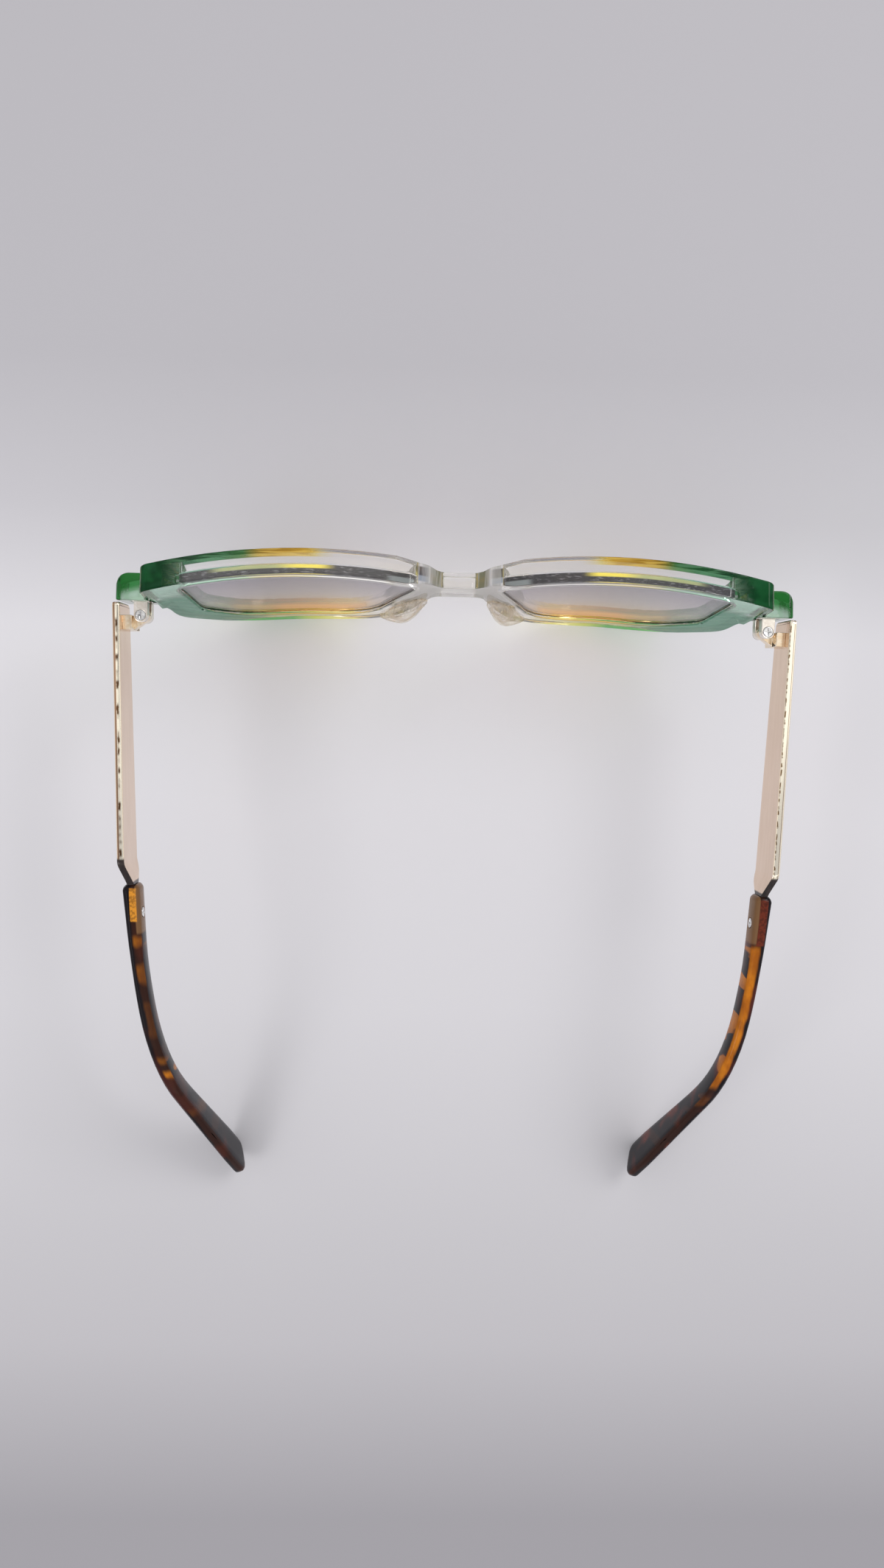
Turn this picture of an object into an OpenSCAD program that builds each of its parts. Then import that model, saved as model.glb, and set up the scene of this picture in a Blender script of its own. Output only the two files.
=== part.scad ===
// Oversized sunglasses: a chunky tinted front, two curved lenses, bonded nose pads,
// three-barrel hinges, wide polished plate temples and slotted tips that bend down and in.
// +X is the wearer's left, the face looks along -Y and the temples run along +Y.
// The glasses stand as on a table: on the foot of both rims and on the ends of both tips.

/* [Front] */
// Gap between the two lenses at the top
bridge_gap = 15; // [13:0.5:18]
// Thickness of the front
front_t = 5.6; // [5:0.1:6.6]
// Height of the brow above the lens opening
brow_h = 4.6; // [3.6:0.1:6]
// Height of the rim below the lens opening
sill_h = 7.2; // [5:0.1:9]
// Width of the rim on the outer side
rim_w = 6; // [4.5:0.1:6.4]
// Width of the rim on the nose side
nasal_w = 5.5; // [4.8:0.1:6]
// Radius of the curve of the front, seen from above
face_r = 140; // [125:1:170]
// How far the curve of the front stands ahead of the bridge
crown = 3.5; // [3:0.1:4.2]
// How far the crown of that curve lies inboard of the lens centre
crown_in = 3; // [1:0.5:5]
// Tilt of the front, with its top forward
tilt = 7; // [5:0.5:9]

/* [Lens] */
// Width of a lens
lens_w = 53; // [50:0.5:57]
// Height of a lens
lens_h = 39.5; // [37:0.5:43]
// Thickness of a lens
lens_t = 2; // [1.6:0.1:2.3]
// How far the edge of a lens sits in its groove
lens_bite = 0.9; // [0.6:0.1:1.2]
// Clearance round the lens in its groove
lens_gap = 0.1; // [0.05:0.01:0.15]
// Distance from the face of the front to the face of the lens
lens_set = 2.9; // [2.4:0.1:3.1]
// Distance of the nose-side knee from the edge of the lens
nose_knee_in = 9.2; // [8:0.1:10.5]
// Height of the nose-side knee above the foot of the lens
nose_knee_up = 10.9; // [9:0.1:13]
// Distance of the nose-side foot from the edge of the lens
nose_foot_in = 15.4; // [14:0.1:17]
// Distance of the outer knee from the edge of the lens
outer_knee_in = 1.5; // [1:0.1:2.5]
// Height of the outer knee above the foot of the lens
outer_knee_up = 13.5; // [11:0.1:16]
// Distance of the outer foot from the edge of the lens
outer_foot_in = 10.9; // [9:0.1:12.5]
// Rounding of the top corners of the lens
lens_top_r = 2.6; // [2:0.1:3.5]
// Rounding of the knees of the lens
lens_knee_r = 14; // [10:0.5:18]
// Rounding of the feet of the lens
lens_foot_r = 15; // [8:0.5:17]

/* [Bridge] */
// Half width of the straight bar of the bridge
bar_half = 3.6; // [3:0.1:4.2]
// Width of the sloped shoulder beside the bar
shoulder_w = 2.8; // [2:0.1:3.6]
// Step from the top of the brow down to the bar
bar_drop = 3.5; // [3:0.1:5]
// Height of the bar
bar_h = 7.4; // [6.5:0.1:9]
// Thickness of the bar at its top
bar_t = 3.5; // [3:0.1:3.6]
// Thickness of the bar at its foot
bar_foot_t = 3.8; // [3.7:0.1:4.4]
// Distance from the middle to the end of the bevel in the face
bevel_end = 13.4; // [11:0.1:15]

/* [Endpiece] */
// Distance from the outer edge of the lens to the end of the brow
brow_over = 6.6; // [6.2:0.1:7.5]
// How far the endpiece stands out past the brow
lug_out = 6.5; // [6:0.1:7.5]
// Step from the top of the brow down to the endpiece
lug_step = 7.5; // [6.5:0.1:9]
// Height of the endpiece
lug_h = 11.6; // [10.5:0.1:12.5]
// Distance from the face of the bridge back to the endpiece's back
lug_back = 7.6; // [7.2:0.1:8.2]
// How far the endpiece's block laps over the back of the rim
lug_lap = 0.8; // [0.4:0.1:1.2]
// Rounding of the endpiece's outer front edge
lug_r = 2.8; // [1.5:0.1:3]

/* [Nose pads] */
// Depth of a pad behind the front
pad_d = 2.5; // [2.2:0.1:3.4]
// Half width of a pad
pad_half = 2.5; // [2:0.1:2.8]
// Distance of a pad's middle line from the nose edge of the rim
pad_in = 1.9; // [1.6:0.1:2.4]
// How far the rear edge of a pad leans towards the nose
pad_lean = 1.1; // [0.6:0.1:1.4]
// Distance from the foot of the front to the foot of a pad
pad_foot = 10.5; // [9:0.5:12]
// Distance from the top of the brow to the top of a pad
pad_top = 11.5; // [10.5:0.5:14]
// Film of glue between a pad and the front
pad_film = 0.05; // [0.03:0.01:0.1]

/* [Hinge] */
// Distance of the hinge pin outboard of the end of the brow
pin_out = 1.5; // [1.2:0.1:2]
// Distance of the hinge pin behind the endpiece
pin_back = 2.95; // [2.7:0.05:3.4]
// Radius of a barrel
barrel_r = 1.45; // [1.3:0.05:1.6]
// Height of each of the two front barrels
barrel_h = 2.2; // [1.8:0.1:2.6]
// Height of the middle barrel
mid_h = 2.4; // [2:0.1:2.8]
// Gap between barrels
barrel_gap = 0.1; // [0.05:0.01:0.2]
// Diameter of the hinge screw's shank
shank_d = 1.4; // [1.2:0.1:1.5]
// Diameter of the hinge screw's head
head_d = 2.2; // [1.9:0.1:2.3]
// Height of the hinge screw's head
head_h = 0.6; // [0.5:0.1:0.8]
// Radial clearance of the screw in the barrels
screw_gap = 0.04; // [0.02:0.01:0.08]
// Width of the anchor plate sunk in the endpiece
anchor_w = 4.2; // [3.6:0.1:4.8]
// Thickness of the anchor plate
anchor_t = 0.8; // [0.6:0.1:1]
// Length of the anchor's two prongs
prong_len = 2.4; // [1.8:0.1:2.8]
// Radius of the anchor's two prongs
prong_r = 0.5; // [0.4:0.05:0.6]
// Clearance round the sunk anchor
anchor_gap = 0.04; // [0.02:0.01:0.08]
// Thickness of the temple leaf's foot on the plate
foot_t = 2; // [1.6:0.1:2.1]
// Length of the temple leaf's foot along the plate
foot_len = 3.1; // [2.6:0.1:4]
// Height of the temple leaf's foot
foot_h = 8; // [7.4:0.1:8.6]

/* [Temple] */
// Length of a temple from the hinge pin to its end, measured along it
temple_len = 151.4; // [145:0.2:158]
// Inward slant of a temple
toe_in = 1.4; // [0.5:0.1:2.5]
// Distance from the hinge pin out to the plate
plate_off = 3.8; // [3.6:0.1:4.2]
// Thickness of the plate
plate_t = 1.6; // [1.4:0.1:1.9]
// Length of the plate from the hinge pin to the neck
plate_len = 54; // [48:0.5:58]
// Height of the plate at the hinge
plate_h = 10; // [9.5:0.1:11]
// Height of the plate at the neck
plate_rear_h = 13; // [11.5:0.1:14]
// How far the plate's top edge stands above the endpiece
plate_up = 0.7; // [0.3:0.1:1.5]
// Rest gap between the plate's front end and the endpiece
butt_gap = 0.15; // [0.1:0.01:0.3]
// Length of the neck between plate and tip
neck_len = 4.7; // [4:0.1:6]
// Inward step of the neck
joggle = 1.4; // [1.2:0.1:1.8]
// Length of the tongue inside the tip
tongue_len = 9.8; // [8.5:0.1:12]
// Inward slant of the tongue against the plate
tongue_in = 3.6; // [2:0.1:5]
// Height of the tongue
tongue_h = 4.4; // [3.8:0.1:4.8]

/* [Tip] */
// Thickness of the tip at its front end
tip_front_t = 4.1; // [3.8:0.1:4.5]
// Thickness of the tip along its bend
tip_t = 3.1; // [2.7:0.1:3.4]
// Height of the tip at its front end
tip_front_h = 6.2; // [6:0.1:7.2]
// Height of the tip's paddle
tip_end_h = 9.6; // [8:0.1:10.4]
// Length over which the tip widens to its paddle
widen_len = 38; // [30:1:46]
// Radius of the downward bend
bend_r = 32; // [26:1:45]
// Angle of the downward bend
bend_angle = 43; // [38:0.5:46]
// Length of the inward turn
turn_len = 50; // [42:1:58]
// Inward slant of the tip's end against the plate
turn_angle = 20; // [16:0.5:24]
// Clearance of the tongue in its slot
slot_gap = 0.05; // [0.03:0.01:0.1]
// Distance of the tip screw from the end of the tongue
tip_screw_in = 3.2; // [2.4:0.1:4]
// Diameter of the tip screw's head
tip_head_d = 2.2; // [1.8:0.1:2.4]
// Height of the tip screw's head
tip_head_h = 0.5; // [0.4:0.05:0.6]
// Diameter of the tip screw's shank
tip_shank_d = 1.2; // [1:0.1:1.4]

/* [Hidden] */
LEFT = 1;
RIGHT = -1;
// Degrees between two points of a rounded corner
arc_step = 9;
// Facets of the large circles that curve the front
face_fn = 360;
// Facets of barrels and screws
round_fn = 48;
// Overlap that lets a cut run clear of a face
over = 1;
// How far any cut through the front reaches ahead of and behind it
reach = 14;

lens_x = bridge_gap / 2;
lens_z = sill_h - lens_bite;
front_h = sill_h + lens_h - 2 * lens_bite + brow_h;
crown_x = lens_x + lens_w / 2 - crown_in;
crown_y = face_r - crown;
back_r = face_r - front_t;
brow_x = lens_x + lens_w + brow_over;
lug_x = brow_x + lug_out;
lug_z1 = front_h - lug_step;
lug_z0 = lug_z1 - lug_h;
bar_z1 = front_h - bar_drop;
bar_z0 = bar_z1 - bar_h;
brow_r = 1.8;
lug_edge_r = 1.2;
inner_r = 0.8;
arch_r = 3.5;
// The front is raised until its foot is on the table
lift = crown * sin(tilt) - bar_z1 * (1 - cos(tilt));

pin_x = brow_x + pin_out;
pin_y = lug_back + pin_back;
hinge_h = 2 * barrel_h + mid_h + 2 * barrel_gap;
hinge_z = tilted_z(upright_y(lug_back, lug_z1 - lug_h / 2), lug_z1 - lug_h / 2);
hinge_z0 = hinge_z - hinge_h / 2;
hinge_z1 = hinge_z + hinge_h / 2;
mid_z0 = hinge_z - mid_h / 2;

plate_x = plate_off + plate_t;
plate_z1 = hinge_z + lug_h / 2 + plate_up;
plate_y0 = butt_gap - pin_back + plate_x * sin(toe_in);
neck_y = plate_len + neck_len;
tongue_x = plate_off + plate_t / 2 - joggle;
tongue_back = neck_y + tongue_len * cos(tongue_in);
tongue_z1 = plate_z1 - 3;
tongue_z0 = tongue_z1 - tongue_h;
tip_z = (tongue_z0 + tongue_z1) / 2;
tip_screw_y = tongue_len - tip_screw_in;

// Height that a point of the upright front has once the front is tilted
function tilted_z(y, z) = lift + bar_z1 + y * sin(tilt) + (z - bar_z1) * cos(tilt);
// Depth in the upright front of the point at height z that has depth y once tilted
function upright_y(y, z) = (y + (z - bar_z1) * sin(tilt)) / cos(tilt);

function unit(v) = v / norm(v);
function flat(p) = [p.x, p.y];
function cross2(a, b) = a.x * b.y - a.y * b.x;
function outward(p, q) = let (d = unit(flat(q) - flat(p))) [d.y, -d.x];

// Corner b of the outline a, b, c, with its two edges moved outward by d1 and d2
function moved_corner(a, b, c, d1, d2) =
    let (t1 = flat(b) - flat(a), t2 = flat(c) - flat(b))
    let (p1 = flat(b) + d1 * outward(a, b), p2 = flat(b) + d2 * outward(b, c))
    p1 + t1 * cross2(p2 - p1, t2) / cross2(t1, t2);

// Outline of corners [x, z, radius] with edge i moved outward by d[i]
function grown(c, d) =
    [for (i = [0:len(c) - 1])
        let (n = len(c), before = (i + n - 1) % n, after = (i + 1) % n)
        let (q = moved_corner(c[before], c[i], c[after], d[before], d[i]))
        [q.x, q.y, max(0.4, c[i][2] + (d[before] + d[i]) / 2)]];
function grown_evenly(c, d) = grown(c, [for (p = c) d]);

// Points of corner b, rounded to its radius between its neighbours a and c
function corner_points(a, b, c) =
    let (u = unit(flat(a) - flat(b)), v = unit(flat(c) - flat(b)))
    let (angle = acos(u * v), turn = 180 - angle, steps = ceil(turn / arc_step))
    let (middle = flat(b) + unit(u + v) * b[2] / sin(angle / 2))
    let (start = flat(b) + u * b[2] / tan(angle / 2) - middle, way = sign(cross2(v, u)))
    [for (k = [0:steps])
        let (w = way * turn * k / steps)
        middle + [start.x * cos(w) - start.y * sin(w), start.x * sin(w) + start.y * cos(w)]];

function rounded(c) =
    [for (i = [0:len(c) - 1])
        let (n = len(c))
        each corner_points(c[(i + n - 1) % n], c[i], c[(i + 1) % n])];

// Where the line from p to q crosses height z
function x_at(p, q, z) = p.x + (q.x - p.x) * (z - p.y) / (q.y - p.y);

lens_corners = [
    [lens_x, lens_z + lens_h, lens_top_r],
    [lens_x + nose_knee_in, lens_z + nose_knee_up, lens_knee_r],
    [lens_x + nose_foot_in, lens_z, lens_foot_r],
    [lens_x + lens_w - outer_foot_in, lens_z, lens_foot_r],
    [lens_x + lens_w - outer_knee_in, lens_z + outer_knee_up, lens_knee_r],
    [lens_x + lens_w, lens_z + lens_h, lens_top_r]];
opening_corners = grown_evenly(lens_corners, -lens_bite);
groove_corners = grown_evenly(lens_corners, lens_gap);
rim_corners = grown(opening_corners, [nasal_w, nasal_w, sill_h, rim_w, rim_w, brow_h]);

// Outline of the front from the foot of the bridge round the left eye to its top
half_corners = [
    [x_at(rim_corners[0], rim_corners[1], bar_z0), bar_z0, arch_r],
    rim_corners[1],
    rim_corners[2],
    rim_corners[3],
    rim_corners[4],
    [x_at(rim_corners[4], rim_corners[5], lug_z0), lug_z0, inner_r],
    [lug_x, lug_z0, lug_edge_r],
    [lug_x, lug_z1, lug_edge_r],
    [brow_x, lug_z1, inner_r],
    [brow_x, front_h, brow_r],
    [bar_half + shoulder_w, front_h, inner_r],
    [bar_half, bar_z1, inner_r]];
front_corners = concat(half_corners,
    [for (i = [len(half_corners) - 1:-1:0]) [-half_corners[i].x, half_corners[i].y, half_corners[i][2]]]);

// Depth of the back of the front at distance x from the middle
function back_y(x) = crown_y - sqrt(back_r * back_r - (x - crown_x) * (x - crown_x));
function face_y(x) = crown_y - sqrt(face_r * face_r - (x - crown_x) * (x - crown_x));

// A flat outline, drawn with height as its second direction, made solid from y0 back to y1
module standing(y0, y1) {
    translate([0, y1, 0]) rotate([90, 0, 0]) linear_extrude(height = y1 - y0) children();
}

// The same, drawn with depth first and height second, made solid across from x0 to x1
module sideways(x0, x1) {
    translate([x0, 0, 0]) rotate([90, 0, 90]) linear_extrude(height = x1 - x0) children();
}

// The upright front or a piece set in it, leaned about the top edge of the bridge's face
module leaned() {
    translate([0, -centre_y, bar_z1 + lift]) rotate([tilt, 0, 0]) translate([0, 0, -bar_z1]) children();
}

// Round column that the curve of one eye follows
module column(side, r) {
    translate([side * crown_x, crown_y, -reach]) cylinder(r = r, h = front_h + 2 * reach, $fn = face_fn);
}

module on_side(side) {
    if (side == LEFT) children();
    else mirror([1, 0, 0]) children();
}

// Front corner of the endpiece, which carries on flat where the face curves back
module endpiece_face() {
    face = face_y(brow_x - lug_lap / 2);
    translate([0, 0, lug_z0 - over]) linear_extrude(height = lug_h + 2 * over) difference() {
        translate([brow_x - lug_lap, face]) square([lug_out + lug_lap + over, 3 * lug_r]);
        translate([lug_x - lug_r, face - over]) square([lug_r + 2 * over, lug_r + over]);
    }
    translate([lug_x - lug_r, face + lug_r, lug_z0 - over])
        cylinder(r = lug_r, h = lug_h + 2 * over, $fn = round_fn);
}

// Space behind the rims, which stops short of the endpieces
module back_hollow() {
    difference() {
        union() {
            column(LEFT, back_r);
            column(RIGHT, back_r);
        }
        for (side = [LEFT, RIGHT]) on_side(side)
            translate([brow_x - lug_lap, -reach, lug_z0 - over]) cube([reach, 3 * reach, lug_h + 2 * over]);
    }
}

// Flat face and bevels ahead of the bridge, and the leaning back of its bar
module bridge_cuts() {
    flat_half = bar_half + shoulder_w / 2;
    bevel_x = 2 * bevel_end - flat_half;
    bevel_y = 2 * face_y(bevel_end);
    translate([0, 0, -over]) linear_extrude(height = front_h + 2 * over)
        polygon([[-bevel_x, bevel_y], [-flat_half, 0], [flat_half, 0], [bevel_x, bevel_y],
            [bevel_x, -reach], [-bevel_x, -reach]]);
    sideways(-bevel_end, bevel_end)
        polygon([[bar_t, front_h + over], [bar_t, bar_z1], [bar_foot_t, bar_z0],
            [bar_foot_t, bar_z0 - reach], [reach, bar_z0 - reach], [reach, front_h + over]]);
}

module upright_front() {
    difference() {
        intersection() {
            standing(-reach, reach) polygon(rounded(front_corners));
            union() {
                column(LEFT, face_r);
                column(RIGHT, face_r);
                for (side = [LEFT, RIGHT]) on_side(side) endpiece_face();
            }
        }
        back_hollow();
        bridge_cuts();
        for (side = [LEFT, RIGHT]) on_side(side) {
            standing(-reach, reach) polygon(rounded(opening_corners));
            lens_ring(groove_corners, lens_gap);
        }
    }
}

// Curved sheet as thick as a lens, with a margin on each face, cut to an outline
module lens_ring(corners, margin) {
    intersection() {
        standing(-reach, reach) polygon(rounded(corners));
        difference() {
            column(LEFT, face_r - lens_set + margin);
            column(LEFT, face_r - lens_set - lens_t - margin);
        }
    }
}

module frame_front() {
    color([0.55, 0.75, 0.6, 0.6])
    difference() {
        leaned() upright_front();
        for (side = [LEFT, RIGHT]) on_side(side)
            translate([brow_x - 1.5 * lug_lap, lug_back - centre_y, 0]) cube([reach, reach, 2 * front_h]);
        for (side = [LEFT, RIGHT]) at_hinge(side) anchor(anchor_gap);
    }
}

module lens(side) {
    color([0.62, 0.58, 0.62, 0.5])
    leaned() on_side(side) lens_ring(lens_corners, 0);
}

// Middle line of a pad at height z
function pad_x(z) =
    pad_in + (z > rim_corners[1].y
        ? x_at(rim_corners[0], rim_corners[1], z)
        : x_at(rim_corners[1], rim_corners[2], z));

function pad_ring(t) =
    let (z1 = front_h - pad_top, z = z1 + (pad_foot - z1) * t, x = pad_x(z))
    let (swell = sin(180 * pow(t, 1.5)), broad = 0.25 + 0.75 * pow(sin(180 * t), 0.5))
    [for (a = [0:18:342])
        [x + pad_half * broad * cos(a) - pad_lean * swell * max(0, sin(a)),
            back_y(x) + (0.5 + pad_d * swell) * sin(a), z]];

module nose_pad(side) {
    color([0.9, 0.86, 0.78, 0.7])
    leaned() on_side(side) intersection() {
        loft([for (t = [0:0.0625:1]) pad_ring(t)]);
        column(LEFT, back_r - pad_film);
    }
}

// Solid skin over rings of points, each ring with the same count, turning the same way
module loft(rings) {
    n = len(rings[0]);
    last = len(rings) - 1;
    points = [for (r = rings) each r];
    sides = [for (k = [0:last - 1]) for (i = [0:n - 1]) for (half = [0, 1])
        let (j = (i + 1) % n)
        half == 0
            ? [k * n + i, (k + 1) * n + i, (k + 1) * n + j]
            : [k * n + i, (k + 1) * n + j, k * n + j]];
    polyhedron(points, concat(sides,
        [[for (i = [0:n - 1]) i]], [[for (i = [n - 1:-1:0]) last * n + i]]));
}

// Places a child that is drawn round the hinge pin, with +Y backwards and +X outwards
module at_hinge(side) {
    on_side(side) translate([pin_x, pin_y - centre_y, 0]) children();
}

// Plate and prongs that are sunk in the endpiece, with a margin for their pocket
module anchor(margin) {
    z0 = hinge_z0 - margin;
    translate([-anchor_w / 2 - margin, -pin_back - anchor_t - margin, z0])
        cube([anchor_w + 2 * margin, anchor_t + margin + (margin > 0 ? over : 0), hinge_h + 2 * margin]);
    for (z = [hinge_z0 + barrel_h / 2, hinge_z1 - barrel_h / 2])
        translate([0, -pin_back - anchor_t + 0.1, z]) rotate([90, 0, 0])
            cylinder(r = prong_r + margin, h = prong_len + margin + 0.1, $fn = round_fn);
}

module barrel(z, h) {
    translate([0, 0, z]) cylinder(r = barrel_r, h = h, $fn = round_fn);
}

module front_hinge(side) {
    color("gainsboro")
    at_hinge(side) difference() {
        union() {
            anchor(0);
            for (z = [hinge_z0, hinge_z1 - barrel_h]) {
                barrel(z, barrel_h);
                translate([-barrel_r, -pin_back, z]) cube([2 * barrel_r, pin_back, barrel_h]);
            }
        }
        screw_way();
    }
}

// Way of the hinge screw: a bore right through, and a sink for its head
module screw_way() {
    translate([0, 0, hinge_z0 - over])
        cylinder(d = shank_d + 2 * screw_gap, h = hinge_h + 2 * over, $fn = round_fn);
    translate([0, 0, hinge_z1 - head_h])
        cylinder(d = head_d + 2 * screw_gap, h = head_h + over, $fn = round_fn);
}

// Cross cut in a screw head of diameter d, from the plane z = 0 down
module cross_cut(d) {
    deep = 0.35;
    wide = 0.32;
    for (a = [0, 90])
        rotate([0, 0, a]) translate([-0.36 * d, -wide / 2, -deep]) cube([0.72 * d, wide, deep + over]);
}

module hinge_screw(side) {
    color("silver")
    at_hinge(side) difference() {
        union() {
            translate([0, 0, hinge_z0 + 0.1])
                cylinder(d = shank_d, h = hinge_h - 0.1 - head_h / 2, $fn = round_fn);
            translate([0, 0, hinge_z1 - head_h]) cylinder(d = head_d, h = head_h, $fn = round_fn);
        }
        translate([0, 0, hinge_z1]) cross_cut(head_d);
    }
}

// Child drawn along the temple from the hinge pin, turned to the temple's inward slant
module at_temple(side) {
    at_hinge(side) rotate([0, 0, toe_in]) children();
}

module temple_hinge(side) {
    foot_x = plate_off - foot_t;
    color([0.93, 0.82, 0.62])
    at_temple(side) difference() {
        union() {
            barrel(mid_z0, mid_h);
            translate([0, 0, mid_z0]) linear_extrude(height = mid_h)
                polygon([[-barrel_r * cos(60), barrel_r * sin(60)], [0, 0],
                    [foot_x + 0.2, 0], [foot_x + 0.2, foot_len]]);
            translate([foot_x, 0, hinge_z - foot_h / 2]) cube([foot_t, foot_len, foot_h]);
        }
        screw_way();
    }
}

// Side view of the plate, neck and tongue: distance behind the pin, then height
plate_corners = [
    [plate_y0, plate_z1 - plate_h, 1.4],
    [plate_len + 1.6, plate_z1 - plate_rear_h, 4.6],
    [neck_y + 0.4, tongue_z0, 1.2],
    [tongue_back, tongue_z0, 1.4],
    [tongue_back, tongue_z1, 1.4],
    [neck_y, tongue_z1, 3],
    [plate_len, plate_z1, 3],
    [plate_y0, plate_z1, 0.8]];

// Corner of the tongue seen from above, given out from its middle and back from its root
function tongue_corner(x, y, r) =
    [tongue_x + x * cos(tongue_in) - y * sin(tongue_in), neck_y + x * sin(tongue_in) + y * cos(tongue_in), r];

// The same plate seen from above: distance out from the pin, then distance behind it
sheet_corners = [
    [plate_x, plate_y0, 0.3],
    [plate_x, plate_len, 4 + plate_t],
    tongue_corner(plate_t / 2, 0, 4),
    tongue_corner(plate_t / 2, tongue_len, 0.3),
    tongue_corner(-plate_t / 2, tongue_len, 0.3),
    tongue_corner(-plate_t / 2, 0, 4 + plate_t),
    [plate_off, plate_len, 4],
    [plate_off, plate_y0, 0.3]];

module temple(side) {
    color([0.93, 0.8, 0.62])
    at_temple(side) difference() {
        intersection() {
            sideways(-reach, reach) polygon(rounded(plate_corners));
            linear_extrude(height = plate_z1 + over) polygon(rounded(sheet_corners));
        }
        at_tongue() translate([0, tip_screw_y, tip_z]) rotate([0, 90, 0])
            cylinder(d = tip_shank_d + 2 * slot_gap, h = 2 * plate_t, center = true, $fn = round_fn);
    }
}

// Child drawn along the tongue from its root at the neck
module at_tongue() {
    translate([tongue_x, neck_y, 0]) rotate([0, 0, tongue_in]) children();
}

// Pitch and turn of the tip's middle line at distance s behind the pin, measured along it
function pitch(s, b) = bend_angle * min(1, max(0, (s - b) / (bend_r * bend_angle * PI / 180)));
function turn(s) = tongue_in + (turn_angle - tongue_in) * min(1, max(0, (s - neck_y - tongue_len) / turn_len));
function heading(s, b) = [-sin(turn(s)) * cos(pitch(s, b)), cos(turn(s)) * cos(pitch(s, b)), -sin(pitch(s, b))];

// Middle line of the tip in steps, as [s, x, y, z], with its bend starting at b
path_step = 0.5;
function tip_path(b) =
    [for (s = neck_y, p = [tongue_x, neck_y, tip_z]; s <= temple_len + path_step;
        p = p + path_step * heading(s + path_step / 2, b), s = s + path_step) [s, p.x, p.y, p.z]];
function on_path(path, s, k) = lookup(s, [for (q = path) [q[0], q[k]]]);

// Half thickness and half height of the tip at distance s, with its two ends rounded
tip_nose_r = 1.3;
tip_tail_r = 3.2;
function rise(d, r) = d >= r ? 1 : sqrt(max(0, 1 - pow(1 - d / r, 2)));
function tip_half_t(s) =
    lookup(s, [[neck_y, tip_front_t / 2], [neck_y + tongue_len + 8, tip_t / 2], [temple_len, tip_t / 2]])
    * (0.3 + 0.7 * rise(s - neck_y, tip_nose_r)) * (0.3 + 0.7 * rise(temple_len - s, tip_t / 2));
function tip_half_h(s) =
    lookup(s, [[neck_y, tip_front_h / 2], [temple_len - widen_len, tip_front_h / 2],
        [temple_len - tip_end_h, tip_end_h / 2], [temple_len, tip_end_h / 2]])
    * (0.6 + 0.4 * rise(s - neck_y, tip_nose_r)) * (0.45 + 0.55 * rise(temple_len - s, tip_tail_r));

// Stations along the tip, closer together at its two round ends
body_start = neck_y + tip_nose_r;
body_end = temple_len - tip_tail_r;
stations = concat(
    [for (a = [0:30:60]) neck_y + tip_nose_r * (1 - cos(a))],
    [for (k = [0:29]) body_start + (body_end - body_start) * k / 29],
    [for (a = [20:14:90]) body_end + tip_tail_r * sin(a)]);

function tip_ring(s, path, b) =
    let (c = [on_path(path, s, 1), on_path(path, s, 2), on_path(path, s, 3)])
    let (out = [cos(turn(s)), sin(turn(s)), 0], up = cross(out, heading(s, b)))
    let (w = tip_half_t(s), h = tip_half_h(s))
    [for (a = [0:20:340])
        c + out * w * sign(cos(a)) * pow(abs(cos(a)), 0.55) + up * h * sign(sin(a)) * pow(abs(sin(a)), 0.55)];
function tip_rings(b) =
    let (path = tip_path(b))
    [for (s = stations) tip_ring(s, path, b)];
function lowest(rings) = min([for (r = rings) for (p = r) p.z]);

// The bend starts where it brings the end of the tip down to the table: a bend that starts
// later by one millimetre ends higher by the sine of its angle
bend_guess = temple_len - bend_r * bend_angle * PI / 180 - tip_z / sin(bend_angle);
bend_start = bend_guess - lowest(tip_rings(bend_guess)) / sin(bend_angle);
final_rings = tip_rings(bend_start);

// Middle of the whole length, which puts the origin under the centre of the box
glasses_y0 = -crown * cos(tilt) - (front_h - bar_z1) * sin(tilt);
glasses_y1 = pin_y + max([for (r = final_rings) for (p = r) p.y * cos(toe_in) + p.x * sin(toe_in)]);
centre_y = (glasses_y0 + glasses_y1) / 2;

// Distance from the tongue's middle to the tip's side where the tip screw sits
screw_side = tip_half_t(neck_y + tip_screw_y);

module temple_tip(side) {
    color([0.25, 0.14, 0.08])
    at_temple(side) difference() {
        loft(final_rings);
        at_tongue() {
            translate([-plate_t / 2 - slot_gap, -over, tongue_z0 - slot_gap])
                cube([plate_t + 2 * slot_gap, tongue_len + over + slot_gap, tongue_h + 2 * slot_gap]);
            // Sink for the screw's head in the inner side, and a blind bore into the outer wall
            translate([tip_head_h - screw_side, tip_screw_y, tip_z]) rotate([0, -90, 0])
                cylinder(d = tip_head_d + 2 * slot_gap, h = tip_head_h + over, $fn = round_fn);
            translate([-screw_side, tip_screw_y, tip_z]) rotate([0, 90, 0])
                cylinder(d = tip_shank_d + 2 * slot_gap, h = 2 * screw_side - 0.5, $fn = round_fn);
        }
    }
}

module tip_screw(side) {
    color("silver")
    at_temple(side) at_tongue() translate([-screw_side, tip_screw_y, tip_z]) rotate([0, -90, 0]) difference() {
        union() {
            translate([0, 0, -tip_head_h]) cylinder(d = tip_head_d, h = tip_head_h, $fn = round_fn);
            translate([0, 0, 0.6 - 2 * screw_side])
                cylinder(d = tip_shank_d, h = 2 * screw_side - 0.6 - tip_head_h / 2, $fn = round_fn);
        }
        cross_cut(tip_head_d);
    }
}

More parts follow.
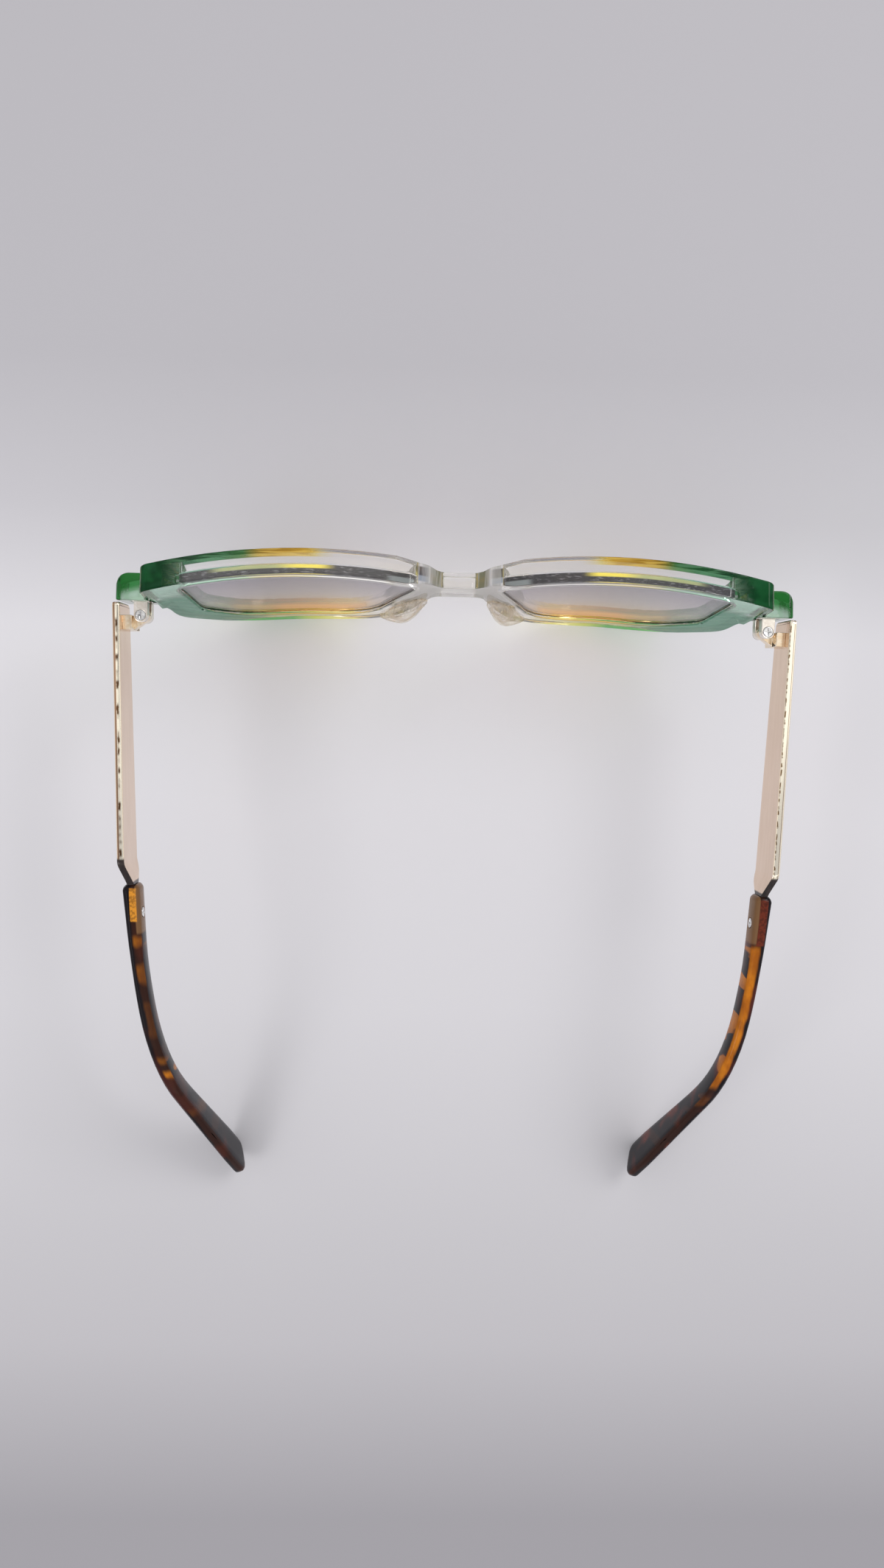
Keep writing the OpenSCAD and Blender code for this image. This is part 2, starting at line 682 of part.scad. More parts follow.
frame_front();
lens(LEFT);  // lens_left
lens(RIGHT);  // lens_right
nose_pad(LEFT);  // nose_pad_left
nose_pad(RIGHT);  // nose_pad_right
front_hinge(LEFT);  // front_hinge_left
front_hinge(RIGHT);  // front_hinge_right
hinge_screw(LEFT);  // hinge_screw_left
hinge_screw(RIGHT);  // hinge_screw_right
temple_hinge(LEFT);  // temple_hinge_left
temple_hinge(RIGHT);  // temple_hinge_right
temple(LEFT);  // temple_left
temple(RIGHT);  // temple_right
temple_tip(LEFT);  // temple_tip_left
temple_tip(RIGHT);  // temple_tip_right
tip_screw(LEFT);  // tip_screw_left
tip_screw(RIGHT);  // tip_screw_right
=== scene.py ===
import math

import bpy
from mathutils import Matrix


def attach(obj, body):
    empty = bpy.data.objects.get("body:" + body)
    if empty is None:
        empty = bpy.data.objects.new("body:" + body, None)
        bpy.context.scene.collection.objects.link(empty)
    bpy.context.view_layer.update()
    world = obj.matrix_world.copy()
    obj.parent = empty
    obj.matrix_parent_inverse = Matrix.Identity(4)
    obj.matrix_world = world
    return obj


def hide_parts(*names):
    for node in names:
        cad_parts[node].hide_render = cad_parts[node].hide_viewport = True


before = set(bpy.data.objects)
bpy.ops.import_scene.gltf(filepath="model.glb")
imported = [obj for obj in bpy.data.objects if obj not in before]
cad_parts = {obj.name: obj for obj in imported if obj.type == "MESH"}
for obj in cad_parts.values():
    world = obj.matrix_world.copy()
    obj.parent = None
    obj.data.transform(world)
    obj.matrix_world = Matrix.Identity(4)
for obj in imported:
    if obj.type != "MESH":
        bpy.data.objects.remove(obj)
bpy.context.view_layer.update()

# Table, light and camera. The glasses stand on a plain pale table under soft room light, and the
# photograph looks almost straight down on them, with the nose side up.
MM = 0.001
TABLE_SINK = 0.02 * MM
bpy.context.scene.view_settings.view_transform = "Standard"


class Value:
    """One output of a material's nodes. Sums written on it add Math nodes.

    An input named n and a number is the node's socket with that number.
    """

    def __init__(self, tree, socket):
        self.tree, self.socket = tree, socket

    def node(self, kind, settings=None, out=0, **inputs):
        """Adds a node: its settings first, then the values or links of its sockets."""
        made = self.tree.nodes.new(kind)
        for name, value in (settings or {}).items():
            if name == "stops":
                ramp = made.color_ramp
                while len(ramp.elements) < len(value):
                    ramp.elements.new(1.0)
                for stop, (place, colour) in zip(ramp.elements, value):
                    stop.position, stop.color = place, (*colour, 1.0)
            else:
                setattr(made, name, value)
        for name, value in inputs.items():
            numbered = name[0] == "n" and name[1:].isdigit()
            socket = made.inputs[int(name[1:]) if numbered else name.replace("_", " ")]
            if isinstance(value, Value):
                self.tree.links.new(value.socket, socket)
            elif value is not None:
                opaque = socket.type == "RGBA" and len(value) == 3
                socket.default_value = (*value, 1.0) if opaque else value
        return Value(self.tree, made.outputs[out])

    def maths(self, operation, a, b=None, c=None):
        return self.node("ShaderNodeMath", {"operation": operation}, n0=a, n1=b, n2=c)

    def __add__(self, other):
        return self.maths("ADD", self, other)

    def __sub__(self, other):
        return self.maths("SUBTRACT", self, other)

    def __mul__(self, other):
        return self.maths("MULTIPLY", self, other)

    def __truediv__(self, other):
        return self.maths("DIVIDE", self, other)

    def __rsub__(self, other):
        return self.maths("SUBTRACT", other, self)

    def __abs__(self):
        return self.maths("ABSOLUTE", self)

    def __pow__(self, other):
        return self.maths("POWER", self, other)

    __radd__, __rmul__ = __add__, __mul__

    def least(self, other):
        return self.maths("MINIMUM", self, other)

    def most(self, other):
        return self.maths("MAXIMUM", self, other)

    def rise(self, start, end):
        """0 before start, 1 after end, smooth between them."""
        return self.node("ShaderNodeMapRange", {"interpolation_type": "SMOOTHSTEP"}, Value=self,
                         From_Min=start, From_Max=end)

    def band(self, start, end, soft):
        """1 between start and end, 0 outside, with soft borders."""
        return self.rise(start - soft, start + soft) * (1.0 - self.rise(end - soft, end + soft))

    def between(self, low, high):
        """A colour from low to high as the value goes from 0 to 1."""
        return self.node("ShaderNodeMix", {"data_type": "RGBA"}, 2, n0=self, n6=low, n7=high)

    def ramp(self, *stops):
        return self.node("ShaderNodeValToRGB", {"stops": stops}, Fac=self)

    def axes(self):
        parts = self.tree.nodes.new("ShaderNodeSeparateXYZ")
        self.tree.links.new(self.socket, parts.inputs[0])
        return [Value(self.tree, socket) for socket in parts.outputs]

    def scaled(self, *factors):
        return self.node("ShaderNodeVectorMath", {"operation": "MULTIPLY"}, n0=self, n1=factors)

    def noise(self, scale, detail=2.0, roughness=0.5):
        return self.node("ShaderNodeTexNoise", Vector=self, Scale=scale, Detail=detail,
                         Roughness=roughness)

    def bump(self, height, distance, strength=1.0):
        return self.node("ShaderNodeBump", Height=height, Distance=distance, Strength=strength)


def new_material(name):
    """A material with nothing in it but its output, and the place on the piece as a value."""
    material = bpy.data.materials.new(name)
    material.use_nodes = True
    tree = material.node_tree
    tree.nodes.clear()
    place = Value(tree, tree.nodes.new("ShaderNodeTexCoord").outputs["Object"])
    return material, place


def close_material(place, shader):
    end = place.tree.nodes.new("ShaderNodeOutputMaterial")
    place.tree.links.new(shader.socket, end.inputs["Surface"])


TABLE_SIZE, TABLE_CUTS = 4.0, 8
bpy.ops.object.select_all(action="DESELECT")
bpy.ops.mesh.primitive_plane_add(size=TABLE_SIZE, location=(0.0, 0.0, -TABLE_SINK))
table = bpy.context.object
table.name = "table"
bpy.ops.object.mode_set(mode="EDIT")
bpy.ops.mesh.subdivide(number_cuts=TABLE_CUTS)
bpy.ops.object.mode_set(mode="OBJECT")
table_paint, at = new_material("pale table top")
table_y = at.axes()[1]
# painted light falloff: the table top is painted palest under the glasses and darker towards
# its near and far ends, as the room light falls off
TONE_START, TONE_LENGTH = -0.35, 0.6
table_falloff_shade = ((table_y - TONE_START) / TONE_LENGTH).ramp(
    (0.00, (0.444, 0.430, 0.448)),
    (0.37, (0.462, 0.450, 0.472)),
    (0.43, (0.535, 0.522, 0.546)),
    (0.48, (0.665, 0.652, 0.675)),
    (0.55, (0.665, 0.652, 0.675)),
    (0.64, (0.628, 0.615, 0.636)),
    (0.74, (0.528, 0.516, 0.535)),
    (0.79, (0.488, 0.474, 0.494)),
    (0.87, (0.340, 0.328, 0.348)))
table_grain = at.bump(at.noise(900.0), 0.02 * MM, 0.3)
close_material(at, at.node("ShaderNodeBsdfPrincipled", Base_Color=table_falloff_shade, Roughness=0.9,
                           Specular_IOR_Level=0.1, Normal=table_grain))
table.data.materials.append(table_paint)

world = bpy.data.worlds.new("soft room")
bpy.context.scene.world = world
world.use_nodes = True
sky = world.node_tree
sky.nodes.clear()
direction = Value(sky, sky.nodes.new("ShaderNodeTexCoord").outputs["Generated"])
look_x, look_y, look_z = direction.axes()
ray = sky.nodes.new("ShaderNodeLightPath")
seen = Value(sky, ray.outputs["Is Camera Ray"])
through = Value(sky, ray.outputs["Is Transmission Ray"])
mirrored = Value(sky, ray.outputs["Is Glossy Ray"]).most(through)
WALLS, SEEN_ROOM, ROOM_LIGHT = (0.70, 0.69, 0.71), (0.62, 0.61, 0.64), (0.80, 0.80, 0.82)
CEILING_DARK, CEILING_PALE = (0.55, 0.54, 0.55), (1.20, 1.18, 1.14)
patches = direction.scaled(1.0, 1.0, 0.4).noise(3.4, 1.0).rise(0.46, 0.54)
ceiling = look_z.rise(0.45, 0.75).between(WALLS, patches.between(CEILING_DARK, CEILING_PALE))
# a small dark patch straight above, which the polished pieces mirror
PATCH_DARK, PATCH_SIDES, PATCH_ENDS = (0.16, 0.16, 0.17), (0.17, 0.23), (-0.30, 0.0)
overhead = look_z.most(0.05)
dark_patch = 1.0 - abs(look_x / overhead).rise(*PATCH_SIDES)
dark_patch = dark_patch * (look_y / overhead).band(*PATCH_ENDS, 0.05) * look_z.rise(0.5, 0.7)
ceiling = dark_patch.between(ceiling, PATCH_DARK)
shown = seen.between(ceiling, SEEN_ROOM)
dome = seen.most(mirrored).between(ROOM_LIGHT, shown)
backdrop = direction.node("ShaderNodeBackground", Color=dome, Strength=1.0)
sky_end = sky.nodes.new("ShaderNodeOutputWorld")
sky.links.new(backdrop.socket, sky_end.inputs["Surface"])

# name, place in metres, width, depth, power in watts
LAMPS = (
    ("window", (-0.55, -0.50, 0.75), 0.50, 0.35, 3.2),
    ("lamp", (0.60, 0.35, 0.70), 0.40, 0.30, 1.8),
)
for name, place, width, depth, power in LAMPS:
    light = bpy.data.lights.new(name, "AREA")
    light.shape, light.size, light.size_y, light.energy = "RECTANGLE", width, depth, power
    lamp = bpy.data.objects.new(name, light)
    bpy.context.scene.collection.objects.link(lamp)
    lamp.location = place
    lamp.rotation_euler = (-lamp.location).to_track_quat("-Z", "Y").to_euler()

# the picture's height and the lens's focal length in its pixels, then the camera's place and tilt
IMAGE_HIGH, FOCAL_PX = 2128, 1600.0
CAMERA_PLACE = (0.0119337, -0.0443147, 0.2995015)
CAMERA_TILT = (-0.0699, -0.0348, math.pi + 0.0247)
camera_data = bpy.data.cameras.new("camera")
camera_data.sensor_width = 36.0
camera_data.lens = FOCAL_PX / IMAGE_HIGH * camera_data.sensor_width
camera_data.clip_start = 0.01
camera = bpy.data.objects.new("camera", camera_data)
camera.location = CAMERA_PLACE
camera.rotation_euler = CAMERA_TILT
bpy.context.scene.collection.objects.link(camera)
bpy.context.scene.camera = camera


# Front. One thick block of clear acetate, tinted green at the ends, through amber, to clear at the
# bridge. It is milled from a curved slab and tumbled until its edges are round and it shines.
FLAT_ANGLE, EDGE_ANGLE = math.radians(0.3), math.radians(30)
WELD, SHORT_EDGE, FINE_EDGE = 0.001 * MM, 0.12 * MM, 0.05 * MM


def merged_copy(node, name):
    """A copy of the node's solid whose loose triangles are joined."""
    piece = bpy.data.objects.new(name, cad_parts[node].data.copy())
    bpy.context.scene.collection.objects.link(piece)
    piece.data.materials.clear()
    bpy.ops.object.select_all(action="DESELECT")
    piece.select_set(True)
    bpy.context.view_layer.objects.active = piece
    bpy.ops.object.mode_set(mode="EDIT")
    bpy.ops.mesh.select_all(action="SELECT")
    bpy.ops.mesh.remove_doubles(threshold=WELD)
    bpy.ops.object.mode_set(mode="OBJECT")
    return piece


def add_modifier(piece, kind, **settings):
    modifier = piece.modifiers.new(kind.lower(), kind)
    for name, value in settings.items():
        setattr(modifier, name, value)
    bpy.ops.object.modifier_apply(modifier=modifier.name)


def tumbled(node, name, width, steps=3, shortest=SHORT_EDGE):
    """The solid as it comes out of the tumbler: its sharp edges worn round, its faces smooth."""
    piece = merged_copy(node, name)
    bpy.ops.object.mode_set(mode="EDIT")
    bpy.ops.mesh.dissolve_limited(angle_limit=FLAT_ANGLE)
    bpy.ops.mesh.select_all(action="SELECT")
    bpy.ops.mesh.remove_doubles(threshold=shortest)
    bpy.ops.object.mode_set(mode="OBJECT")
    add_modifier(piece, "BEVEL", width=width, segments=steps, limit_method="ANGLE",
                 angle_limit=EDGE_ANGLE, use_clamp_overlap=False)
    add_modifier(piece, "SHRINKWRAP", target=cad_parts[node], wrap_mode="INSIDE")
    bpy.ops.object.shade_smooth_by_angle(angle=EDGE_ANGLE)
    add_modifier(piece, "WEIGHTED_NORMAL", keep_sharp=True, weight=100)
    return piece


def let_light_through(place, shader, tint):
    """Lets the lamps shine through the clear plastic, so that its shadow stays light."""
    ray = place.tree.nodes.new("ShaderNodeLightPath")
    shadow = Value(place.tree, ray.outputs["Is Shadow Ray"])
    clear = place.node("ShaderNodeBsdfTransparent", Color=tint)
    return place.node("ShaderNodeMixShader", n0=shadow, n1=shader, n2=clear)


def facing_up(place):
    """How far the surface faces up at a place: 1 where it is level, 0 where it stands upright."""
    normal = place.tree.nodes["Texture Coordinate"].outputs["Normal"]
    return Value(place.tree, normal).axes()[2]


# the curve of the face, its lean and its place, in millimetres
FACE_R, CROWN_X, CROWN_Y = 140.0, 31.0, 136.5
CENTRE_Y, LEAN, LEAN_Z, LIFT_Z = 72.105, math.radians(7.0), 46.0, 46.035


def in_the_front(place):
    """Millimetres off the middle, above the front's foot, and behind its curved face."""
    side, depth, height = place.axes()
    across = abs(side) * 1000.0
    back = depth * 1000.0 + CENTRE_Y
    up = height * 1000.0 - LIFT_Z
    behind = back * math.cos(LEAN) + up * math.sin(LEAN)
    above = up * math.cos(LEAN) - back * math.sin(LEAN) + LEAN_Z
    curve = FACE_R ** 2 - (across - CROWN_X) ** 2
    return across, above, behind - (CROWN_Y - curve.maths("SQRT", curve))


ACETATE_IOR = 1.49
ACETATE_SHADE = (0.90, 0.93, 0.86)
# from where to where each look fades in, in millimetres: off the middle, then above the foot,
# then behind the face
SHOULDER, BLOCK, LUG, RIM_EDGE = (3.75, 9.0), (57.0, 63.0), (66.6, 67.4), (72.0, 72.6)
FOOT_TOP, SILL_TOP, BROW, CHEEK_TOP = (4.0, 5.0), (12.0, 16.0), (34.0, 40.0), (36.0, 42.0)
BACK_LINE = (5.2, 5.4)
# how deep the dye goes behind the face at the brow and at the sill, and how much of it shows
# when the thin face is looked at
EDGE_DEPTH, SILL_DEPTH, FACE_STRENGTH = 1.15, 2.6, 0.42

acetate, at = new_material("tinted acetate")
across, above, sunk = in_the_front(at)
# where each look lies: the end block, the lug and its outer rim, the dyed layer behind the face
# with its line along the brow, and the foot
facing = facing_up(at)
upward = facing.rise(0.45, 0.75)
brow = above.rise(*BROW)
over_sill = above.rise(*SILL_TOP)
# the end block's top: green dye, deepened by a painted reflection of the dyed face inside
block = across.rise(*BLOCK) * (1.0 - across.rise(*LUG)) * brow * upward
lug = across.rise(*LUG)
rim_edge = across.rise(*RIM_EDGE)
edge_depth = over_sill * (EDGE_DEPTH - SILL_DEPTH) + SILL_DEPTH
layer = 1.0 - (sunk - edge_depth).rise(-0.1, 0.1)
top_line = layer * upward * across.rise(29.0, 33.0) * brow
foot = (1.0 - above.rise(*FOOT_TOP)) * sunk.rise(3.6, 4.2) * across.rise(16.0, 24.0)

# the dye: where it starts and is full moves with the height, and it wavers a little
dye_start = above * 0.3 + 12.0
dye_full = 56.0 - above * 0.23
spread = (across + (at.noise(60.0) - 0.5) * 3.0 - dye_start) / (dye_full - dye_start)
tint = (spread / 2.0).ramp(
    (0.02, (0.97, 0.96, 0.96)),
    (0.12, (0.96, 0.82, 0.20)),
    (0.32, (0.72, 0.38, 0.02)),
    (0.47, (0.40, 0.30, 0.02)),
    (0.53, (0.06, 0.26, 0.03)),
    (0.62, (0.01, 0.17, 0.04)))
strength = sunk.rise(0.02, 0.06).most(upward) * (1.0 - FACE_STRENGTH) + FACE_STRENGTH
tint = tint.node("ShaderNodeGamma", Color=tint, Gamma=strength)
LUG_GREEN, LUG_MINT = (0.02, 0.26, 0.04), (0.66, 0.90, 0.76)
clear = across.rise(12.0, 24.0).between((0.97, 0.945, 0.89), (0.96, 0.955, 0.95))
clear = lug.between(clear, LUG_MINT)
acetate_tint = layer.most(block).most(rim_edge).between(clear, tint)
acetate_tint = (lug * layer.most(rim_edge)).between(acetate_tint, LUG_GREEN)
ripple = at.bump(at.noise(260.0, 3.0), 0.02 * MM, 0.2)
acetate_body = at.node("ShaderNodeBsdfPrincipled", Base_Color=acetate_tint, Roughness=0.03,
                       IOR=ACETATE_IOR, Transmission_Weight=1.0, Normal=ripple)

# the deep colours that the thick plastic shows where it is looked at along its layers
DEEP_REACH = 70.0
deep = (across / DEEP_REACH).ramp(
    (0.40, (0.60, 0.45, 0.10)),
    (0.47, (0.40, 0.22, 0.010)),
    (0.59, (0.24, 0.13, 0.006)),
    (0.65, (0.012, 0.090, 0.016)),
    (0.80, (0.002, 0.030, 0.009)))
SWIRL_GREEN = (0.006, 0.062, 0.018)
GRAIN_AMBER, GRAIN_GREEN = (0.62, 0.42, 0.08), (0.08, 0.20, 0.10)
swirl = at.noise(170.0, 2.0).rise(0.50, 0.64) * block
deep = swirl.between(deep, SWIRL_GREEN)
grain = at.scaled(0.08, 1.0, 1.0).noise(1500.0, 2.0).rise(0.42, 0.60) * top_line * (1.0 - block)
deep = grain.between(deep, across.rise(42.0, 46.0).between(GRAIN_AMBER, GRAIN_GREEN))

# painted reflections: the facet stripes of deep and pale mint that the outer rims show along
# their length, standing in for the dyed face seen through their back, and the deep line at
# their back edge
REFLECTED_MINT_DEEP, REFLECTED_MINT_PALE = (0.03, 0.20, 0.11), (0.66, 0.80, 0.72)
along_rim = across * 0.84 - above * 0.54 + sunk * 0.8
facet_reflections = along_rim.node("ShaderNodeTexNoise", {"noise_dimensions": "1D"}, W=along_rim, Scale=0.62,
                        Detail=3.0).rise(0.43, 0.57) * (1.0 - sunk.rise(*BACK_LINE))
outer = across.rise(40.0, 52.0) * (1.0 - above.rise(*CHEEK_TOP)) * (1.0 - upward) * (1.0 - lug)
deep = outer.between(deep, facet_reflections.between(REFLECTED_MINT_DEEP, REFLECTED_MINT_PALE))
rim_line = outer * sunk.rise(*BACK_LINE)

LUG_DEEP, LUG_PALE = (0.012, 0.14, 0.022), (0.46, 0.58, 0.50)
lug_tint = (sunk.rise(1.8, 4.2) * (1.0 - rim_edge)).between(LUG_DEEP, LUG_PALE)
deep = lug.between(deep, lug_tint)

# the amber line in the sill, the yellow foot, and the pale rims beside the nose
SILL_AMBER, SILL_OLIVE = (0.78, 0.48, 0.03), (0.46, 0.42, 0.10)
sill_line = sunk.rise(0.9, 1.9) * (1.0 - sunk.rise(2.9, 3.1)) * upward
sill_line = sill_line * (1.0 - over_sill) * across.rise(12.0, 22.0)
deep = sill_line.between(deep, across.rise(40.0, 48.0).between(SILL_AMBER, SILL_OLIVE))

foot_tint = (across / DEEP_REACH).ramp(
    (0.40, (0.92, 0.86, 0.22)),
    (0.48, (0.60, 0.68, 0.06)),
    (0.56, (0.05, 0.42, 0.06)))
NASAL_PALE = (0.74, 0.72, 0.71)
nasal = (1.0 - across.rise(13.0, 16.0)) * (1.0 - upward) * above.rise(24.0, 30.0)
deep = nasal.between(foot.between(deep, foot_tint), NASAL_PALE)

# the shoulders of the bridge: olive beside the nose, then pale, with a painted view of the lens's
# dark edge as seen through them
BRIDGE_OLIVE, SHOULDER_PALE = (0.17, 0.17, 0.12), (0.58, 0.56, 0.58)
LENS_DARK, LENS_BLUE = (0.035, 0.030, 0.036), (0.22, 0.25, 0.30)
lines = at.scaled(1.0, 0.1, 0.1).noise(1100.0, 2.0).rise(0.45, 0.60)
bridge = across.band(*SHOULDER, 0.15) * facing.rise(0.2, 0.3)
shoulder = (across.rise(5.8, 6.4) * 0.55 + lines * 0.35).between(BRIDGE_OLIVE, SHOULDER_PALE)
lens_seen = across.rise(6.0, 7.6) * sunk.band(1.5, 4.6, 0.2) * (lines * 0.5 + 0.4)
lens_shade = sunk.rise(3.2, 3.6).between(LENS_DARK, LENS_BLUE)
shoulder = lens_seen.between(shoulder, lens_shade)
deep = bridge.between(deep, shoulder)
deep_body = at.node("ShaderNodeBsdfPrincipled", Base_Color=deep, Specular_IOR_Level=0.06,
                    Roughness=0.06, IOR=ACETATE_IOR, Normal=ripple)
solid = (block * 0.94).most(bridge * 0.9).most(top_line * 0.62).most(lug * 0.5).most(foot * 0.85)
solid = solid.most(outer * 0.34).most(nasal * 0.3).most(sill_line * 0.9).most(rim_line * 0.7)
acetate_body = at.node("ShaderNodeMixShader", n0=solid, n1=acetate_body, n2=deep_body)
close_material(at, let_light_through(at, acetate_body, ACETATE_SHADE))

FRONT_ROUND = 0.4 * MM
front = tumbled("frame_front", "front", FRONT_ROUND)
front.data.materials.append(acetate)
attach(front, "front")
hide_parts("frame_front")

# Lenses. Two curved sheets of hard plastic, dyed from grey violet at the top to peach at the foot,
# bevelled round the edge and snapped into the front's grooves.
LENS_IOR, LENS_SHADE = 1.5, (0.80, 0.76, 0.76)
# the ground edge: painted shade, grey specks, blue, and a painted reflection of the front's dye
GROUND_SHADE_BLACK, GROUND_GREY, NOSE_BLUE = (0.020, 0.018, 0.026), (0.20, 0.19, 0.23), (0.26, 0.29, 0.34)
MIRRORED_YELLOW, MIRRORED_OLIVE = (0.93, 0.76, 0.10), (0.42, 0.44, 0.22)
DYE_HEIGHT = 0.05
lens_paint, at = new_material("gradient lens")
height = at.axes()[2]
across, above, sunk = in_the_front(at)
lens_tint = (height / DYE_HEIGHT).ramp(
    (0.10, (0.98, 0.60, 0.22)),
    (0.30, (0.87, 0.63, 0.42)),
    (0.55, (0.57, 0.51, 0.52)),
    (0.90, (0.30, 0.28, 0.35)))

# the ground edge under the brow: painted shade, near black and darker than the lens's own top,
# with grey specks; on the dye's side a painted yellow reflection of the front's dye; blue at
# the nose
ground = above.rise(45.2, 45.5)
speckle = at.scaled(0.22, 1.0, 1.0).noise(3400.0, 2.0).rise(0.54, 0.70)
edge_tint = speckle.between(GROUND_SHADE_BLACK, GROUND_GREY)
nose_half = sunk.rise(3.8, 4.1) * (1.0 - across.rise(14.0, 16.0))
edge_tint = nose_half.between(edge_tint, NOSE_BLUE)
front_half = (1.0 - sunk.rise(3.6, 3.9)) * across.band(28.0, 52.0, 2.0)
mirrored_dye = across.rise(34.0, 40.0).between(MIRRORED_YELLOW, MIRRORED_OLIVE)
edge_tint = front_half.between(edge_tint, mirrored_dye)
lens_tint = ground.between(lens_tint, edge_tint)
lens_waves = at.bump(at.noise(40.0), 0.02 * MM, 0.2)
lens_body = at.node("ShaderNodeBsdfPrincipled", Base_Color=lens_tint, IOR=LENS_IOR,
                    Roughness=ground * 0.35 + 0.02, Transmission_Weight=1.0, Normal=lens_waves)
edge_body = at.node("ShaderNodeBsdfPrincipled", Base_Color=lens_tint, Roughness=0.35,
                    IOR=LENS_IOR, Specular_IOR_Level=0.1)
lens_body = at.node("ShaderNodeMixShader", n0=ground * 0.85, n1=lens_body, n2=edge_body)
close_material(at, let_light_through(at, lens_body, LENS_SHADE))

LENS_ROUND = 0.2 * MM
for hand in ("left", "right"):
    lens = tumbled("lens_" + hand, "tinted_lens_" + hand, LENS_ROUND, steps=2)
    lens.data.materials.append(lens_paint)
    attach(lens, "front")
    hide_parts("lens_" + hand)

# Nose pads. Two slim pads of clear, slightly beige acetate, polished and bonded to the back of the
# rims beside the nose.
PAD_BEIGE, PAD_CLEAR, PAD_REFLECTED_LINE = (0.90, 0.82, 0.70), (0.95, 0.91, 0.86), (0.55, 0.45, 0.33)
PAD_GLASS, PAD_SHADE = (0.98, 0.96, 0.92), (0.95, 0.92, 0.88)
# so little bending of the light that the pad stays clear, as one bonded to the rim does
PAD_IOR = 1.10
pad_paint, at = new_material("clear pad")
height = at.axes()[2]
cloud = at.noise(120.0)
pad_tint = (cloud * 0.6 + height * 8.0).rise(0.2, 0.8).between(PAD_BEIGE, PAD_CLEAR)
pad_body = at.node("ShaderNodeBsdfPrincipled", Base_Color=pad_tint, Roughness=0.05, IOR=PAD_IOR,
                   Transmission_Weight=1.0, Normal=at.bump(cloud, 0.02 * MM, 0.2))
pad_mirrored_line = at.node("ShaderNodeBsdfPrincipled", Base_Color=PAD_REFLECTED_LINE, Roughness=0.1,
                  IOR=ACETATE_IOR)
pad_clear = at.node("ShaderNodeBsdfTransparent", Color=PAD_GLASS)

# painted reflections: thin lines, one within the other, where the pad's round side turns away
grazing = at.node("ShaderNodeLayerWeight", out=1, Blend=0.35)
painted_pad_lines = (grazing.band(0.30, 0.38, 0.04) * 0.5).most(grazing.band(0.55, 0.62, 0.03) * 0.6)
painted_pad_lines = painted_pad_lines.most(grazing.rise(0.75, 0.95) * 0.8)
pad_body = at.node("ShaderNodeMixShader", n0=0.72, n1=pad_body, n2=pad_clear)
pad_body = at.node("ShaderNodeMixShader", n0=painted_pad_lines, n1=pad_body, n2=pad_mirrored_line)
close_material(at, let_light_through(at, pad_body, PAD_SHADE))

PAD_ROUND = 0.5 * MM
for hand in ("left", "right"):
    pad = tumbled("nose_pad_" + hand, "pad_" + hand, PAD_ROUND)
    pad.data.materials.append(pad_paint)
    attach(pad, "front")
    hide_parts("nose_pad_" + hand)


# Hinges. Each has a nickel-plated half with two barrels and an anchor sunk in the front, and a
# brassy half with one barrel, soldered to the plate.
def metal(name, low, high, rough, grain):
    """A plated metal: its colour varies a little, and fine waves are left from the polishing."""
    material, place = new_material(name)
    streaks = place.noise(grain, 3.0, 0.6)
    waves = place.bump(streaks, 0.01 * MM, 0.5)
    close_material(place, place.node(
        "ShaderNodeBsdfPrincipled", Base_Color=streaks.rise(0.3, 0.7).between(low, high),
        Metallic=1.0, Roughness=streaks * 0.1 + rough, Normal=waves))
    return material


nickel = metal("hinge nickel", (0.80, 0.73, 0.66), (0.94, 0.89, 0.83), 0.14, 900.0)
brass = metal("hinge brass", (0.84, 0.66, 0.46), (0.95, 0.83, 0.66), 0.16, 900.0)
HINGE_ROUND = 0.12 * MM
for hand in ("left", "right"):
    for node, name, body, finish in (
            ("front_hinge_", "hinge_core_", "front", nickel),
            ("temple_hinge_", "hinge_leaf_", "temple_" + hand, brass)):
        half = tumbled(node + hand, name + hand, HINGE_ROUND, 2, FINE_EDGE)
        half.data.materials.append(finish)
        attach(half, body)
        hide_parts(node + hand)

# Temples. A wide plate of metal, pale gold and polished all over. Its neck, dark on top and then
# all round, steps inward and goes into the tip.
CREAM_LOW, CREAM_HIGH = (0.80, 0.61, 0.46), (0.86, 0.67, 0.52)
# the top edge's white is a painted highlight, its dashes and tan line painted reflections
EDGE_GOLD, EDGE_HIGHLIGHT, EDGE_TAN_REFLECTION = (0.94, 0.80, 0.62), (1.0, 0.93, 0.78), (0.36, 0.22, 0.14)
NECK_LOW, NECK_HIGH = (0.016, 0.011, 0.011), (0.040, 0.028, 0.026)
# the neck is dark on top from its start, and all round from NECK_ALL
NECK_START = {"left": -8.8 * MM, "right": -7.2 * MM}
NECK_ALL, NECK_SOFT = -3.2 * MM, 0.4 * MM
# the plate's outer face: its place at a depth, both in millimetres, and its slant
PLATE_OUT, PLATE_DEPTH, PLATE_SLANT = 73.265, 31.43, 0.0244
